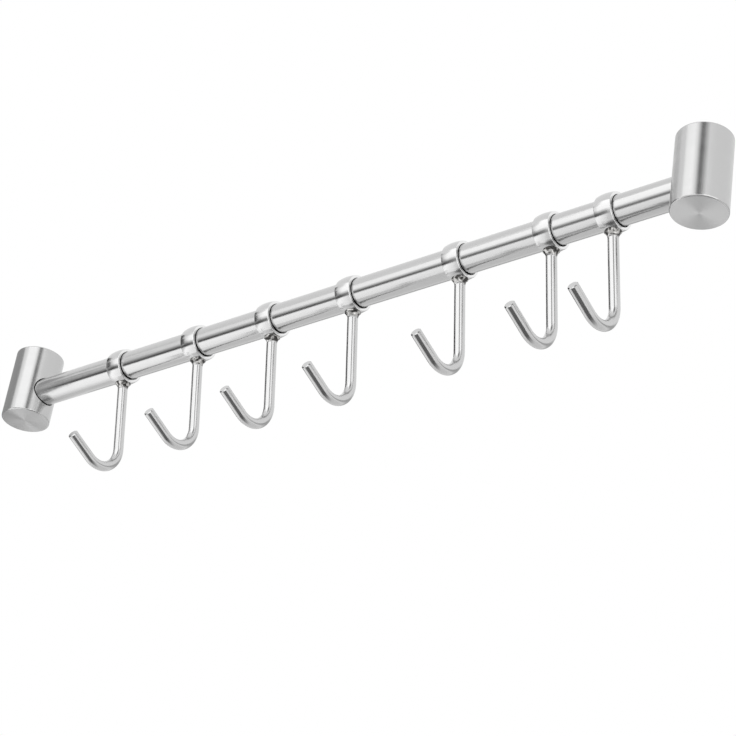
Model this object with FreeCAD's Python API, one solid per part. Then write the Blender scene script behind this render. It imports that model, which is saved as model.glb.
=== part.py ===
import FreeCAD, Part
import math
import os

# Kitchen utensil rail: a stainless tube held between two turned end posts, with J-shaped hooks
# whose rings slide along the tube and swing on it.
# Millimetres. The origin is midway between the posts on the mounting plane, X runs along the rail,
# +Z points into the surface that the rail is fixed to, and the hooks open towards -Y.

# Tube and posts
post_spacing = 405.0        # post axis to post axis, also the spacing of the fixing holes
rail_drop = 23.75           # mounting plane to tube axis
tube_d = 14.0
tube_wall = 1.0
post_d = 25.0
post_h = 38.0
post_edge = 0.8             # rounded rims of a post
bore_gap = 0.4              # radial, tube in a post's cross bore
bore_back = 5.0             # metal left behind the blind cross bore
tube_end_gap = 0.3          # tube end to the floor of the bore

# Fixing hidden in each post: a boss screwed to the surface, which the post slips over
socket_d = 19.0
socket_depth = 11.0
boss_gap = 0.1              # radial, boss in its socket
boss_h = 9.0
boss_edge = 0.4
fixing_hole_d = 4.5
fixing_head_d = 9.0         # countersink, 90 degrees
groove_depth = 1.5          # V groove round the boss, 90 degrees, for the set screw's point

# Hexagon socket set screws, modelled at their thread's outside diameter
thread_gap = 0.05           # radial, screw in its tapped hole
set_screw_d = 4.0           # from the back of the post into the boss
set_screw_length = 4.0
set_screw_key = 2.0
point_gap = 0.15            # cone point to the groove
clamp_screw_d = 5.0         # from the socket down onto the tube
clamp_screw_key = 2.5
clamp_recess = 0.3          # clamp screw below the floor of the socket
clamp_gap = 0.05            # clamp screw to the crown of the tube
key_depth = 1.8
screw_edge = 0.3

# Hooks
hook_x = (-134.0, -82.6, -34.2, 15.6, 77.5, 127.0, 158.8)
ring_play = 0.4             # radial, ring on the tube
ring_seat = 0.2             # left between the ring and the crown of the tube that it hangs on
ring_wall = 1.7             # in the middle of the crowned outside
ring_crown = 0.5            # radial drop of the outside from the middle to the ends
ring_width = 8.5
ring_edge = 0.3
rod_d = 5.0
stem_length = 43.7          # ring axis to the start of the bend
bend_r = 12.0               # centre line
bend_angle = 125.0
tip_length = 15.0           # straight past the bend
tip_edge = 0.4
weld_flare = 1.3            # fillet weld beyond the rod
weld_h = 2.6
weld_gap = 0.05             # weld to the ring

# Places and sizes that follow from those above
post_r = post_d / 2
tube_r = tube_d / 2
bore_reach = post_r - bore_back
boss_d = socket_d - 2 * boss_gap
ring_id = tube_d + 2 * ring_play
ring_od = ring_id + 2 * ring_wall
hook_axis_z = -rail_drop - (ring_play - ring_seat)

X_AXIS = FreeCAD.Vector(1, 0, 0)
Y_AXIS = FreeCAD.Vector(0, 1, 0)
Z_AXIS = FreeCAD.Vector(0, 0, 1)
ORIGIN = FreeCAD.Vector(0, 0, 0)


def bar(diameter, length, base, axis):
    return Part.makeCylinder(diameter / 2, length, base, axis)


def rims(shape, diameter, centre=None):
    """The circular edges of a given diameter, all of them or only the one round a given centre."""
    found = []
    for edge in shape.Edges:
        if edge.Curve.TypeId != "Part::GeomCircle":
            continue
        if abs(2 * edge.Curve.Radius - diameter) > 1e-6:
            continue
        if centre is None or edge.Curve.Center.distanceToPoint(centre) < 1e-4:
            found.append(edge)
    return found


def turned(profile, axis):
    """A solid of revolution about an axis through the origin, from the corners of half its section."""
    face = Part.Face(Part.makePolygon(profile + profile[:1]))
    return face.revolve(ORIGIN, axis, 360)


def hexagon(across_flats, depth):
    """A hexagonal prism on the XY plane, going down."""
    corner = across_flats / math.sqrt(3)
    angles = [math.radians(60 * i) for i in range(6)]
    points = [FreeCAD.Vector(corner * math.cos(a), corner * math.sin(a), 0) for a in angles]
    face = Part.Face(Part.makePolygon(points + points[:1]))
    return face.extrude(FreeCAD.Vector(0, 0, -depth))


def tube():
    length = post_spacing + 2 * (bore_reach - tube_end_gap)
    start = FreeCAD.Vector(-length / 2, 0, -rail_drop)
    outside = bar(tube_d, length, start, X_AXIS)
    inside = bar(tube_d - 2 * tube_wall, length, start, X_AXIS)
    return outside.cut(inside)


def post(side):
    """A solid turned post, with the tube's cross bore open towards the middle of the rail."""
    body = bar(post_d, post_h, FreeCAD.Vector(0, 0, -post_h), Z_AXIS)
    body = body.makeFillet(post_edge, rims(body, post_d))
    socket = bar(socket_d, socket_depth, FreeCAD.Vector(0, 0, -socket_depth), Z_AXIS)
    bore_floor = FreeCAD.Vector(side * bore_reach, 0, -rail_drop)
    bore = bar(tube_d + 2 * bore_gap, bore_reach + post_d, bore_floor, X_AXIS * -side)
    clamp_hole = bar(clamp_screw_d + 2 * thread_gap, rail_drop, FreeCAD.Vector(0, 0, -rail_drop), Z_AXIS)
    set_hole = bar(set_screw_d + 2 * thread_gap, post_d, FreeCAD.Vector(0, 0, -boss_h / 2), Y_AXIS)
    body = body.cut(Part.Compound([socket, bore, clamp_hole, set_hole]))
    body.translate(FreeCAD.Vector(side * post_spacing / 2, 0, 0))
    return body


def boss(side):
    """The round boss inside a post, with a countersunk hole and a groove for the set screw."""
    body = bar(boss_d, boss_h, FreeCAD.Vector(0, 0, -boss_h), Z_AXIS)
    inner_rim = rims(body, boss_d, FreeCAD.Vector(0, 0, -boss_h))
    body = body.makeChamfer(boss_edge, inner_rim)
    hole = bar(fixing_hole_d, boss_h, FreeCAD.Vector(0, 0, -boss_h), Z_AXIS)
    sink_depth = (fixing_head_d - fixing_hole_d) / 2
    sink = Part.makeCone(fixing_head_d / 2, fixing_hole_d / 2, sink_depth, FreeCAD.Vector(0, 0, -boss_h))
    r, z = boss_d / 2, -boss_h / 2
    groove = turned([FreeCAD.Vector(r - groove_depth, 0, z),
                     FreeCAD.Vector(r + groove_depth, 0, z - 2 * groove_depth),
                     FreeCAD.Vector(r + groove_depth, 0, z + 2 * groove_depth)], Z_AXIS)
    body = body.cut(Part.Compound([hole, sink, groove]))
    body.translate(FreeCAD.Vector(side * post_spacing / 2, 0, 0))
    return body


def set_screw(side):
    """Cone-point screw at the back of a post: made point down along Z, then laid along Y."""
    r = set_screw_d / 2
    flat_r = r / 4
    section = [FreeCAD.Vector(0, 0, flat_r),
               FreeCAD.Vector(flat_r, 0, flat_r),
               FreeCAD.Vector(r, 0, r),
               FreeCAD.Vector(r, 0, set_screw_length - screw_edge),
               FreeCAD.Vector(r - screw_edge, 0, set_screw_length),
               FreeCAD.Vector(0, 0, set_screw_length)]
    key = hexagon(set_screw_key, key_depth)
    key.translate(FreeCAD.Vector(0, 0, set_screw_length))
    body = turned(section, Z_AXIS).cut(key)
    body.rotate(ORIGIN, X_AXIS, -90)
    point_y = boss_d / 2 - groove_depth + point_gap
    body.translate(FreeCAD.Vector(side * post_spacing / 2, point_y, -boss_h / 2))
    return body


def clamp_screw(side):
    """Flat-point screw under the socket's floor, which clamps the tube in its bore."""
    bottom = -rail_drop + tube_r + clamp_gap
    top = -socket_depth - clamp_recess
    body = bar(clamp_screw_d, top - bottom, FreeCAD.Vector(0, 0, bottom), Z_AXIS)
    body = body.makeChamfer(screw_edge, rims(body, clamp_screw_d))
    key = hexagon(clamp_screw_key, key_depth)
    key.translate(FreeCAD.Vector(0, 0, top))
    body = body.cut(key)
    body.translate(FreeCAD.Vector(side * post_spacing / 2, 0, 0))
    return body


def crowned_bar(radius):
    """A solid bar as long as a ring is wide, about the X axis, with a crowned outside."""
    half = ring_width / 2
    left_end = FreeCAD.Vector(-half, 0, radius - ring_crown)
    right_end = FreeCAD.Vector(half, 0, radius - ring_crown)
    crown = Part.Arc(left_end, FreeCAD.Vector(0, 0, radius), right_end).toShape()
    rest = Part.makePolygon([right_end, FreeCAD.Vector(half, 0, 0), FreeCAD.Vector(-half, 0, 0), left_end])
    face = Part.Face(Part.Wire([crown] + rest.Edges))
    return face.revolve(ORIGIN, X_AXIS, 360)


def hook_ring():
    """The band round the tube, about an axis through the origin."""
    body = crowned_bar(ring_od / 2)
    body = body.makeFillet(ring_edge, rims(body, ring_od - 2 * ring_crown))
    return body.cut(bar(ring_id, ring_width, FreeCAD.Vector(-ring_width / 2, 0, 0), X_AXIS))


def weld():
    """The fillet weld round the top of the stem: it hollows out from the rod up to the ring."""
    rod_r = rod_d / 2
    foot = -ring_od / 2 - weld_h
    top = -ring_od / 4
    hollow_r = (weld_h ** 2 + weld_flare ** 2) / (2 * weld_flare)
    sweep = math.asin(weld_h / hollow_r)

    def on_hollow(angle):
        out = hollow_r * (1 - math.cos(angle))
        return FreeCAD.Vector(rod_r + out, 0, foot + hollow_r * math.sin(angle))

    hollow = Part.Arc(on_hollow(0), on_hollow(sweep / 2), on_hollow(sweep)).toShape()
    rest = Part.makePolygon([on_hollow(sweep),
                             FreeCAD.Vector(rod_r + weld_flare, 0, top),
                             FreeCAD.Vector(0, 0, top),
                             FreeCAD.Vector(0, 0, foot),
                             on_hollow(0)])
    section = Part.Face(Part.Wire([hollow] + rest.Edges))
    return section.revolve(ORIGIN, Z_AXIS, 360)


def hook_rod():
    """The bent rod with its weld, hung from an axis through the origin so that it balances."""
    bend = math.radians(bend_angle)

    def on_bend(angle):
        return FreeCAD.Vector(0, bend_r * (math.cos(angle) - 1), -stem_length - bend_r * math.sin(angle))

    top = FreeCAD.Vector(0, 0, -ring_id / 2)
    tip = on_bend(bend) + FreeCAD.Vector(0, -math.sin(bend), -math.cos(bend)) * tip_length
    path = Part.Wire([Part.makeLine(top, on_bend(0)),
                      Part.Arc(on_bend(0), on_bend(bend / 2), on_bend(bend)).toShape(),
                      Part.makeLine(on_bend(bend), tip)])
    section = Part.Wire(Part.makeCircle(rod_d / 2, top, Z_AXIS))
    rod = path.makePipeShell([section], True, False)
    rod = rod.makeChamfer(tip_edge, rims(rod, rod_d, tip))
    coped = crowned_bar(ring_od / 2 + weld_gap)
    body, = rod.fuse(weld()).cut(coped).Solids
    centre = body.CenterOfMass
    balance = math.degrees(math.atan2(-centre.y, -centre.z))
    body.rotate(ORIGIN, X_AXIS, balance)
    return body


pieces = {"rail_tube": tube()}
for name, side in (("left", -1), ("right", 1)):
    pieces[name + "_post"] = post(side)
    pieces[name + "_boss"] = boss(side)
    pieces[name + "_set_screw"] = set_screw(side)
    pieces[name + "_clamp_screw"] = clamp_screw(side)

ring = hook_ring()
rod = hook_rod()
for number, x in enumerate(hook_x, start=1):
    place = FreeCAD.Vector(x, 0, hook_axis_z)
    pieces["hook_ring_%d" % number] = ring.translated(place)
    pieces["hook_rod_%d" % number] = rod.translated(place)

os.makedirs("parts", exist_ok=True)
for name, shape in pieces.items():
    solid, = shape.Solids
    solid.exportStep("parts/%s.step" % name)
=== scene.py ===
import math

import bpy
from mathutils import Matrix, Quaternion, Vector


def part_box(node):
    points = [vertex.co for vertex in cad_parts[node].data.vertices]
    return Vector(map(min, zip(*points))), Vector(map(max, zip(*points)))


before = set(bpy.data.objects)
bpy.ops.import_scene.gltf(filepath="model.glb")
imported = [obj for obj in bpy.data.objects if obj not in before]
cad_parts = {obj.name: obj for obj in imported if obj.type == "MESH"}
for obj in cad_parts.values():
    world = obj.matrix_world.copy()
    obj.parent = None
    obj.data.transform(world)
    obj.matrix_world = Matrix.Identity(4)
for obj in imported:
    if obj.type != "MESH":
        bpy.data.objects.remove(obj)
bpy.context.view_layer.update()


# Rail tube: thin stainless tube, ground on a belt while it turns, so its scratches run round it.
# It is pushed into a cross bore in each post and clamped there by a screw that nobody sees.
# The grain keeps the long reflections crisp across the tube and smears them along it.
MM = 0.001
QUARTER_TURN = 0.25      # for Anisotropic Rotation: reflections smear across scratches that run round


def linear(hex_colour):
    """An sRGB hex colour as linear RGBA."""
    parts = [int(hex_colour[i:i + 2], 16) / 255 for i in (1, 3, 5)]
    return [p / 12.92 if p <= 0.04045 else ((p + 0.055) / 1.055) ** 2.4 for p in parts] + [1.0]


def add(tree, kind, settings=None, values=None, links=None):
    """A node with its settings, its sockets' values and the outputs that feed it."""
    new = tree.nodes.new("ShaderNode" + kind)
    for name, value in (settings or {}).items():
        setattr(new, name, value)
    for name, value in (values or {}).items():
        new.inputs[name].default_value = value
    for name, output in (links or {}).items():
        tree.links.new(output, new.inputs[name])
    return new


def finish_of(name):
    """A new material without nodes, and its node tree."""
    material = bpy.data.materials.new(name)
    material.use_nodes = True
    material.node_tree.nodes.clear()
    return material, material.node_tree


def wear(node, material):
    """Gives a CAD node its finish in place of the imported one."""
    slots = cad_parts[node].data.materials
    slots.clear()
    slots.append(material)


def ground_stainless():
    """Belt-ground tube: fine scratches round the tube, with broader, fainter passes of the belt."""
    scratch = 0.35 * MM      # real scratches are nearer 0.05 mm, too fine to show at this distance
    scratch_depth, scratch_strength = 0.01 * MM, 0.2
    belt_pass = 9 * MM       # width that the belt leaves behind at each turn
    smoothest, roughest = 0.15, 0.22
    smear = 0.5
    material, tree = finish_of("ground_stainless_tube")
    place = add(tree, "TexCoord")
    along = add(tree, "SeparateXYZ", links={"Vector": place.outputs["Object"]})
    fine = add(tree, "TexNoise", {"noise_dimensions": "1D"}, {"Scale": 1 / scratch, "Detail": 2.0},
               {"W": along.outputs["X"]})
    broad = add(tree, "TexNoise", {"noise_dimensions": "1D"}, {"Scale": 1 / belt_pass, "Detail": 1.0},
                {"W": along.outputs["X"]})
    rough = add(tree, "MapRange", values={"To Min": smoothest, "To Max": roughest},
                links={"Value": broad.outputs["Fac"]})
    grooves = add(tree, "Bump", values={"Strength": scratch_strength, "Distance": scratch_depth},
                  links={"Height": fine.outputs["Fac"]})
    round_tube = add(tree, "Tangent", {"direction_type": "RADIAL", "axis": "X"})
    steel = add(tree, "BsdfPrincipled",
                values={"Base Color": linear("#c6c6c6"), "Metallic": 1.0, "Anisotropic": smear,
                        "Anisotropic Rotation": QUARTER_TURN},
                links={"Roughness": rough.outputs["Result"], "Normal": grooves.outputs["Normal"],
                       "Tangent": round_tube.outputs["Tangent"]})
    add(tree, "OutputMaterial", links={"Surface": steel.outputs["BSDF"]})
    return material


wear("rail_tube", ground_stainless())


# End posts: solid stainless bar, turned on a lathe and left satin, with the rims just broken.
# The tool's marks run round the side and in rings on the end, which fans the light out from its middle.
# Each post slips over a boss on the mounting surface and is locked from the back by a set screw.
SHARE, FIRST, SECOND, BLEND = 0, 6, 7, 2     # a Mix node's colour sockets, by number as names repeat


def turned_stainless(name, axis_x, end_z):
    """Turned bar about an upright axis: the same marks count height on the side and radius on the end."""
    tool_mark = 0.4 * MM     # a lathe leaves about 0.1 mm, too fine to show at this distance
    mark_depth, mark_strength = 0.01 * MM, 0.2
    tool_drift = 5 * MM      # travel over which the tool cuts a little brighter or duller
    smoothest_side, roughest_side, rough_end = 0.2, 0.28, 0.42
    smear = 0.8
    end_depth = 0.05 * MM
    material, tree = finish_of(name)
    place = add(tree, "TexCoord")
    centred = add(tree, "Mapping", values={"Location": (-axis_x, 0, 0)},
                  links={"Vector": place.outputs["Object"]})
    parts = add(tree, "SeparateXYZ", links={"Vector": centred.outputs["Vector"]})
    flat = add(tree, "CombineXYZ", links={"X": parts.outputs["X"], "Y": parts.outputs["Y"]})
    radius = add(tree, "VectorMath", {"operation": "LENGTH"}, links={0: flat.outputs["Vector"]})
    run = add(tree, "Math", {"operation": "ADD"}, links={0: radius.outputs["Value"], 1: parts.outputs["Z"]})
    fine = add(tree, "TexNoise", {"noise_dimensions": "1D"}, {"Scale": 1 / tool_mark, "Detail": 2.0},
               {"W": run.outputs["Value"]})
    broad = add(tree, "TexNoise", {"noise_dimensions": "1D"}, {"Scale": 1 / tool_drift, "Detail": 1.0},
                {"W": run.outputs["Value"]})
    side_rough = add(tree, "MapRange", values={"To Min": smoothest_side, "To Max": roughest_side},
                     links={"Value": broad.outputs["Fac"]})
    faced_end_painted_light = add(tree, "Math", {"operation": "LESS_THAN"}, {1: end_z + end_depth}, {0: parts.outputs["Z"]})
    rough = add(tree, "MapRange", values={"To Max": rough_end},
                links={"Value": faced_end_painted_light.outputs["Value"], "To Min": side_rough.outputs["Result"]})
    marks = add(tree, "Bump", values={"Strength": mark_strength, "Distance": mark_depth},
                links={"Height": fine.outputs["Fac"]})
    # The end face is painted a lighter grey than the side of the same steel: a painted highlight.
    tint_with_painted_light = add(tree, "Mix", {"data_type": "RGBA"},
               {FIRST: linear("#c4c4c4"), SECOND: linear("#d2d2d2")}, {SHARE: faced_end_painted_light.outputs["Value"]})
    round_post = add(tree, "Tangent", {"direction_type": "RADIAL", "axis": "Z"})
    steel = add(tree, "BsdfPrincipled",
                values={"Metallic": 1.0, "Anisotropic": smear, "Anisotropic Rotation": QUARTER_TURN},
                links={"Base Color": tint_with_painted_light.outputs[BLEND], "Roughness": rough.outputs["Result"],
                       "Normal": marks.outputs["Normal"], "Tangent": round_post.outputs["Tangent"]})
    add(tree, "OutputMaterial", links={"Surface": steel.outputs["BSDF"]})
    return material


for side in ("left", "right"):
    low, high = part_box(side + "_post")
    post_steel = turned_stainless("turned_stainless_" + side + "_post", (low[0] + high[0]) / 2, low[2])
    wear(side + "_post", post_steel)


# Bosses and screws: plain turned steel bosses under the posts, and hexagon socket screws.
# The bosses are screwed to the surface first; the screws are bought in, darker and oiled.
def plain_steel(name, colour, roughness, grit):
    """Steel as it comes off the machine: a mottle in its sheen, drawn coarser than real grit to show."""
    spread = 0.06
    material, tree = finish_of(name)
    place = add(tree, "TexCoord")
    mottle = add(tree, "TexNoise", values={"Scale": 1 / grit, "Detail": 3.0},
                 links={"Vector": place.outputs["Object"]})
    rough = add(tree, "MapRange", values={"To Min": roughness - spread, "To Max": roughness + spread},
                links={"Value": mottle.outputs["Fac"]})
    steel = add(tree, "BsdfPrincipled", values={"Base Color": linear(colour), "Metallic": 1.0},
                links={"Roughness": rough.outputs["Result"]})
    add(tree, "OutputMaterial", links={"Surface": steel.outputs["BSDF"]})
    return material


boss_steel = plain_steel("turned_steel_boss", "#b4b4b2", 0.36, 0.6 * MM)
screw_steel = plain_steel("oiled_steel_screw", "#6e6c69", 0.32, 0.4 * MM)
for side in ("left", "right"):
    wear(side + "_boss", boss_steel)
    wear(side + "_set_screw", screw_steel)
    wear(side + "_clamp_screw", screw_steel)


# Hook rings: short lengths of stainless tube, crowned a little on the outside and buffed on a wheel.
# They run loose along the rail, and each carries its rod by a weld underneath.
# Buffing leaves a bright face with very fine lines round it; the cut ends carry a painted highlight.
def buffed_stainless(name, middle, half_width):
    """Buffed ring about the rail: lines too fine to draw smear its reflections. Its cut ends get a painted
    highlight.
    """
    haze = 2 * MM            # patches where the wheel bore harder
    smoothest, roughest = 0.15, 0.19
    smear = 0.8
    edge_start = half_width - 0.3 * MM       # the broken corner, where the face turns into the cut end
    edge_end = half_width - 0.06 * MM
    material, tree = finish_of(name)
    place = add(tree, "TexCoord")
    cloud = add(tree, "TexNoise", values={"Scale": 1 / haze, "Detail": 2.0},
                links={"Vector": place.outputs["Object"]})
    rough = add(tree, "MapRange", values={"To Min": smoothest, "To Max": roughest},
                links={"Value": cloud.outputs["Fac"]})
    along = add(tree, "SeparateXYZ", links={"Vector": place.outputs["Object"]})
    offset = add(tree, "Math", {"operation": "SUBTRACT"}, {1: middle}, {0: along.outputs["X"]})
    reach = add(tree, "Math", {"operation": "ABSOLUTE"}, links={0: offset.outputs["Value"]})
    faced_end_painted_light = add(tree, "MapRange", values={"From Min": edge_start, "From Max": edge_end},
                links={"Value": reach.outputs["Value"]})
    # The cut ends are painted a lighter grey than the face: a painted highlight.
    tint_with_painted_light = add(tree, "Mix", {"data_type": "RGBA"},
               {FIRST: linear("#cccccc"), SECOND: linear("#ececec")}, {SHARE: faced_end_painted_light.outputs["Result"]})
    round_ring = add(tree, "Tangent", {"direction_type": "RADIAL", "axis": "X"})
    steel = add(tree, "BsdfPrincipled",
                values={"Metallic": 1.0, "Anisotropic": smear, "Anisotropic Rotation": QUARTER_TURN},
                links={"Base Color": tint_with_painted_light.outputs[BLEND], "Roughness": rough.outputs["Result"],
                       "Tangent": round_ring.outputs["Tangent"]})
    add(tree, "OutputMaterial", links={"Surface": steel.outputs["BSDF"]})
    return material


hook_numbers = range(1, 1 + sum(name.startswith("hook_ring_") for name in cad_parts))
for number in hook_numbers:
    low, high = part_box("hook_ring_%d" % number)
    ring_steel = buffed_stainless("buffed_stainless_ring_%d" % number,
                                  (low[0] + high[0]) / 2, (high[0] - low[0]) / 2)
    wear("hook_ring_%d" % number, ring_steel)


# Hook rods: drawn stainless rod, bent cold to a J, cut square and welded under its ring.
# The rod is left a fine satin with its grain round it, so reflections smear along stem, bend and tip.
# The weld is left as it set: lumpy and darker with scale, with painted shade in its hollows and a painted
# highlight on its tops.
def satin_stainless(name, axis_z):
    """Satin rod with a dark, lumpy weld. Places are counted from the ring's axis, in the hook's plane."""
    bend_y, bend_z = -3.75 * MM, axis_z - 45.16 * MM     # centre of the bend, as the hook hangs
    stem_turn, tip_turn = math.radians(10.6), math.radians(-114.4)     # where the bend starts and ends
    streak = 4 * MM          # patches where the belt bore harder
    smoothest, roughest = 0.15, 0.18
    smear = 0.8
    weld_inside, weld_outside = 10.8 * MM, 12.0 * MM     # the weld fades into the rod between these
    lump = 1.8 * MM          # one ripple of the weld
    lump_height, lump_strength = 0.9 * MM, 1.0
    hollow, top = 0.44, 0.56     # heights at which the lumps are painted darkest (scale and painted shade) and brightest (painted highlight)
    material, tree = finish_of(name)
    place = add(tree, "TexCoord")
    cloud = add(tree, "TexNoise", values={"Scale": 1 / streak, "Detail": 1.0},
                links={"Vector": place.outputs["Object"]})
    rough = add(tree, "MapRange", values={"To Min": smoothest, "To Max": roughest},
                links={"Value": cloud.outputs["Fac"]})

    # The way along the rod: straight up the stem, round the bend, straight out along the tip.
    from_bend = add(tree, "Mapping", values={"Location": (0, -bend_y, -bend_z)},
                    links={"Vector": place.outputs["Object"]})
    bend = add(tree, "SeparateXYZ", links={"Vector": from_bend.outputs["Vector"]})
    turn = add(tree, "Math", {"operation": "ARCTAN2"}, links={0: bend.outputs["Z"], 1: bend.outputs["Y"]})
    held = add(tree, "Clamp", values={"Min": tip_turn, "Max": stem_turn},
               links={"Value": turn.outputs["Value"]})
    across = add(tree, "Math", {"operation": "SINE"}, links={0: held.outputs["Result"]})
    forward = add(tree, "Math", {"operation": "MULTIPLY"}, {1: -1.0}, {0: across.outputs["Value"]})
    upward = add(tree, "Math", {"operation": "COSINE"}, links={0: held.outputs["Result"]})
    along = add(tree, "CombineXYZ", links={"Y": forward.outputs["Value"], "Z": upward.outputs["Value"]})
    tangent = add(tree, "VectorTransform",
                  {"vector_type": "VECTOR", "convert_from": "OBJECT", "convert_to": "WORLD"},
                  links={"Vector": along.outputs["Vector"]})

    # The weld: everything within its reach of the ring's axis.
    from_ring = add(tree, "Mapping", values={"Location": (0, 0, -axis_z)},
                    links={"Vector": place.outputs["Object"]})
    parts = add(tree, "SeparateXYZ", links={"Vector": from_ring.outputs["Vector"]})
    section = add(tree, "CombineXYZ", links={"Y": parts.outputs["Y"], "Z": parts.outputs["Z"]})
    radius = add(tree, "VectorMath", {"operation": "LENGTH"}, links={0: section.outputs["Vector"]})
    weld = add(tree, "MapRange", values={"From Min": weld_outside, "From Max": weld_inside},
               links={"Value": radius.outputs["Value"]})
    beads = add(tree, "TexNoise", values={"Scale": 1 / lump, "Detail": 0.0},
                links={"Vector": place.outputs["Object"]})
    height = add(tree, "Math", {"operation": "MULTIPLY"},
                 links={0: beads.outputs["Fac"], 1: weld.outputs["Result"]})
    lumps = add(tree, "Bump", values={"Strength": lump_strength, "Distance": lump_height},
                links={"Height": height.outputs["Value"]})
    # The lumps' hollows are painted dark and their tops bright: painted shade and painted highlight over the
    # weld's darker scale.
    lump_painted_light = add(tree, "MapRange", values={"From Min": hollow, "From Max": top},
                 links={"Value": beads.outputs["Fac"]})
    weld_scale_and_painted_light = add(tree, "Mix", {"data_type": "RGBA"},
                    {FIRST: linear("#474645"), SECOND: linear("#bdbcba")}, {SHARE: lump_painted_light.outputs["Result"]})
    tint_with_painted_light = add(tree, "Mix", {"data_type": "RGBA"}, {FIRST: linear("#cbcbcb")},
               {SHARE: weld.outputs["Result"], SECOND: weld_scale_and_painted_light.outputs[BLEND]})

    steel = add(tree, "BsdfPrincipled", values={"Metallic": 1.0, "Anisotropic": smear},
                links={"Base Color": tint_with_painted_light.outputs[BLEND], "Roughness": rough.outputs["Result"],
                       "Normal": lumps.outputs["Normal"], "Tangent": tangent.outputs["Vector"]})
    add(tree, "OutputMaterial", links={"Surface": steel.outputs["BSDF"]})
    return material


low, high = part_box("hook_ring_1")
rod_steel = satin_stainless("satin_stainless_rod", (low[2] + high[2]) / 2)
for number in hook_numbers:
    wear("hook_rod_%d" % number, rod_steel)


# Studio: matt pale paper on a floor well below the rail, which fades far out into a white surround.
# White boards and dark flags in front, on the floor, behind and at the sides draw the bands on the steel.
# Only the steel sees the boards, in its reflections. One soft box from above lights the floor.
FLOOR_Z, FLOOR_SIDE = -0.75, 9
PAPER_END, SURROUND_START = 1.0, 4.3     # distances from the middle between which the paper fades
WHITE = (1, 1, 1, 1)
bpy.ops.object.select_all(action="DESELECT")
bpy.ops.mesh.primitive_plane_add(size=FLOOR_SIDE, location=(0, 0, FLOOR_Z))
floor = bpy.context.object
floor.name = "floor"
paper, tree = finish_of("pale_floor_paper")
place = add(tree, "TexCoord")
reach = add(tree, "VectorMath", {"operation": "LENGTH"}, links={0: place.outputs["Object"]})
far = add(tree, "MapRange", {"interpolation_type": "SMOOTHSTEP"},
          {"From Min": PAPER_END, "From Max": SURROUND_START}, {"Value": reach.outputs["Value"]})
sheet = add(tree, "BsdfPrincipled",
            values={"Base Color": linear("#eeeeee"), "Roughness": 0.8, "Specular IOR Level": 0.0})
haze = add(tree, "Emission", values={"Color": WHITE, "Strength": 1.0})
ground = add(tree, "MixShader", links={"Fac": far.outputs["Result"], 1: sheet.outputs["BSDF"],
                                       2: haze.outputs["Emission"]})
add(tree, "OutputMaterial", links={"Surface": ground.outputs["Shader"]})
floor.data.materials.append(paper)


def board(name, centre, turn, size, first, last, fade="X"):
    """A flat board whose glow goes from first to last along its X or Y; 1 is the white of the surround."""
    bpy.ops.object.select_all(action="DESELECT")
    bpy.ops.mesh.primitive_plane_add(size=1, location=centre, rotation=[math.radians(a) for a in turn])
    panel = bpy.context.object
    panel.name = name
    panel.scale = (*size, 1)
    cloth, tree = finish_of(name)
    place = add(tree, "TexCoord")
    across = add(tree, "SeparateXYZ", links={"Vector": place.outputs["Object"]})
    level = add(tree, "MapRange",
                values={"From Min": -0.5, "From Max": 0.5, "To Min": first, "To Max": last},
                links={"Value": across.outputs[fade]})
    glow = add(tree, "Emission", values={"Color": WHITE}, links={"Strength": level.outputs["Result"]})
    add(tree, "OutputMaterial", links={"Surface": glow.outputs["Emission"]})
    panel.data.materials.append(cloth)
    panel.visible_camera = False
    panel.visible_shadow = False
    panel.visible_diffuse = False


FACING, LYING, SIDEWAYS = (90, 0, 0), (0, 0, 0), (90, 0, 90)
FRONT_Y, BACK_Y, LEFT_X = -0.8, 1.0, -1.5
LOW_Z, UNDER_Z = -0.70, -0.69

# In front: the large white board of the bright bands, which fades at the left and at its foot.
board("front_board", (-0.025, FRONT_Y, 0.335), FACING, (0.85, 0.83), 1.5, 1.8, "Y")
board("front_board_low_fade", (0.2, FRONT_Y, -0.25), FACING, (0.40, 0.34), 0.8, 1.5, "Y")
board("front_board_fade", (-0.54, FRONT_Y, 0.17), FACING, (0.18, 0.50), 1.39, 1.6)
board("front_board_left_fade", (-0.815, FRONT_Y, 0.235), FACING, (0.37, 0.37), 0.95, 1.39)

# To its right: the dark stripe of the posts and the fine line of the stems, then the stems' right stripe.
board("front_flag", (0.535, FRONT_Y, 0.76), FACING, (0.21, 0.68), 0.10, 0.10)
board("front_flag_left_fade", (0.325, -0.79, 0.76), FACING, (0.35, 0.68), 1.6, 0.2)
board("front_flag_fade", (0.89, FRONT_Y, 0.76), FACING, (0.50, 0.68), 0.12, 0.98)
board("front_flag_low", (0.545, FRONT_Y, 0.135), FACING, (0.19, 0.57), 0.4, 0.4)
board("front_flag_low_fade", (0.80, FRONT_Y, 0.135), FACING, (0.32, 0.57), 0.5, 1.6)
board("right_front_board", (1.6, -0.81, 0.30), FACING, (1.2, 0.62), 1.7, 1.7)

# Below it and to its left: the tube's dark line, and the shade at the left edge of the rings.
board("low_flag", (-1.9, FRONT_Y, -0.40), FACING, (2.2, 0.20), 0.08, 0.08)
board("low_flag_right_fade", (-0.4, FRONT_Y, -0.40), FACING, (0.8, 0.20), 0.08, 0.38)
board("low_flag_fade", (-0.315, FRONT_Y, -0.21), FACING, (0.63, 0.18), 0.2, 1.15, "Y")
board("low_flag_left_fade", (-1.815, FRONT_Y, -0.125), FACING, (2.37, 0.35), 0.08, 0.95, "Y")
board("front_left_flag", (-1.235, -0.79, 0.10), FACING, (0.53, 0.40), 0.06, 0.06)
board("front_left_flag_fade", (-0.92, -0.79, 0.10), FACING, (0.10, 0.40), 0.06, 1.1)

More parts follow.
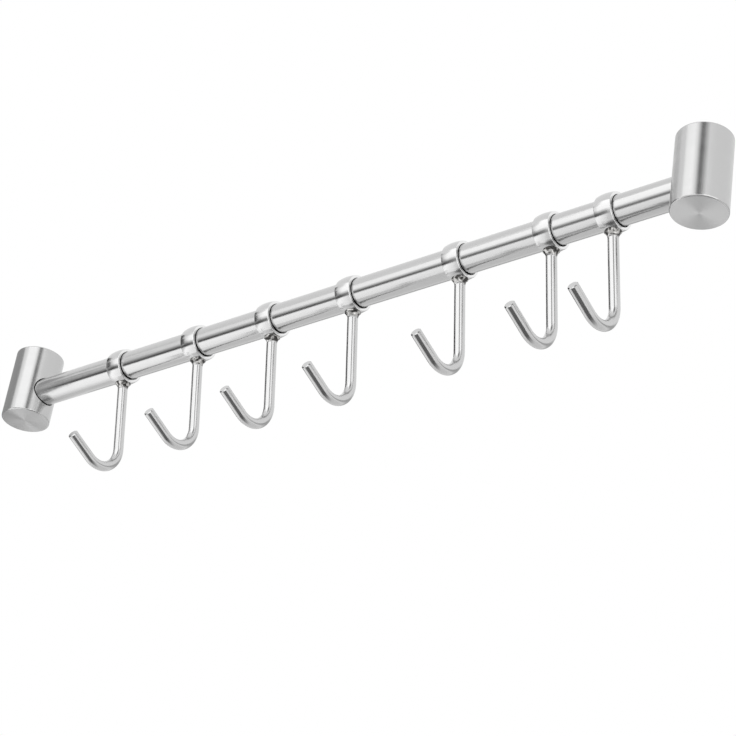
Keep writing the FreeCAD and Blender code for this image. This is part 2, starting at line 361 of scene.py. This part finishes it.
# Just above the floor: the tube's lower bright band, and the dark stripe of the hooks' tips and bends.
board("low_board", (-0.75, -0.55, LOW_Z), LYING, (1.2, 0.90), 1.75, 1.15)
board("low_board_fade", (-0.975, 0.125, LOW_Z), LYING, (0.75, 0.45), 1.5, 0.95, "Y")
board("under_flag", (0.25, -0.015, UNDER_Z), LYING, (0.80, 0.17), 0.12, 0.12)
board("under_flag_fade", (-0.25, -0.015, UNDER_Z), LYING, (0.20, 0.17), 1.0, 0.12)
board("under_flag_front_fade", (0.25, -0.20, UNDER_Z), LYING, (0.80, 0.20), 1.0, 0.12, "Y")
board("under_flag_back_fade", (0.25, 0.31, UNDER_Z), LYING, (0.80, 0.48), 0.12, 0.9, "Y")

# At the right: the light side of the hooks.
board("right_low_board", (0.9, -0.325, -0.35), SIDEWAYS, (0.85, 0.60), 1.7, 1.7)

# Behind: the darker lower edge of the tube.
board("back_flag", (0.15, BACK_Y, 0.13), FACING, (3.3, 0.20), 0.5, 0.5)
board("back_flag_fade", (0.15, BACK_Y, 0.33), FACING, (3.3, 0.20), 0.5, 1.0, "Y")
board("back_flag_low_fade", (0.15, BACK_Y, -0.07), FACING, (3.3, 0.20), 0.9, 0.5, "Y")

# At the left: the dark left edge of posts and stems, and the grey left side of the left post.
board("left_flag", (LEFT_X, 0.125, 0.475), SIDEWAYS, (2.15, 1.15), 0.05, 0.05)
board("left_flag_front", (LEFT_X, -1.075, 0.225), SIDEWAYS, (0.25, 0.65), 0.05, 0.05)
board("left_post_flag", (-0.235, -0.025, -0.02), SIDEWAYS, (0.07, 0.10), 0.42, 0.42)
board("left_post_flag_fade", (-0.235, 0.045, -0.02), SIDEWAYS, (0.07, 0.10), 0.42, 1.0)

BOX_SIDE, BOX_BRIGHTNESS = 1.2, 1.2
lamp = bpy.data.lights.new("top_soft_box", "AREA")
lamp.shape = "SQUARE"
lamp.size = BOX_SIDE
lamp.energy = BOX_BRIGHTNESS * math.pi * BOX_SIDE * BOX_SIDE
soft_box = bpy.data.objects.new("top_soft_box", lamp)
bpy.context.scene.collection.objects.link(soft_box)
soft_box.location = (0.3, -0.3, 1.6)
soft_box.rotation_euler = (-soft_box.location).to_track_quat("-Z", "Y").to_euler()
soft_box.visible_camera = False
soft_box.visible_glossy = False

FILL_STRENGTH = 0.93     # what lights the floor; the camera and the steel see the full white
world = bpy.data.worlds.new("white_surround")
bpy.context.scene.world = world
world.use_nodes = True
tree = world.node_tree
tree.nodes.clear()
ray = add(tree, "LightPath")
seen = add(tree, "Math", {"operation": "MAXIMUM"},
           links={0: ray.outputs["Is Camera Ray"], 1: ray.outputs["Is Glossy Ray"]})
shown = add(tree, "Math", {"operation": "MAXIMUM"},
            links={0: seen.outputs["Value"], 1: ray.outputs["Is Transmission Ray"]})
fill = add(tree, "Background", values={"Color": WHITE, "Strength": FILL_STRENGTH})
white = add(tree, "Background", values={"Color": WHITE, "Strength": 1.0})
either = add(tree, "MixShader", links={"Fac": shown.outputs["Value"], 1: fill.outputs["Background"],
                                       2: white.outputs["Background"]})
add(tree, "OutputWorld", links={"Surface": either.outputs["Shader"]})


# Camera: below the rail, in front of it and to the right, with a long lens and a little roll.
# Its place, aim, lens and roll were fitted to the outlines of the posts and the tube in the photograph.
ROLL = math.radians(9.335)
camera = bpy.data.cameras.new("camera")
camera.sensor_width = 36.0
camera.lens = 108.9
camera.clip_end = 50.0
viewer = bpy.data.objects.new("camera", camera)
bpy.context.scene.collection.objects.link(viewer)
viewer.location = (0.6237, -0.6275, -0.5733)
aim = Vector((0.0323, 0.0, -0.0679)) - viewer.location
viewer.rotation_mode = "QUATERNION"
viewer.rotation_quaternion = aim.to_track_quat("-Z", "Y") @ Quaternion((0, 0, 1), ROLL)
bpy.context.scene.camera = viewer

bpy.context.scene.view_settings.view_transform = "Standard"
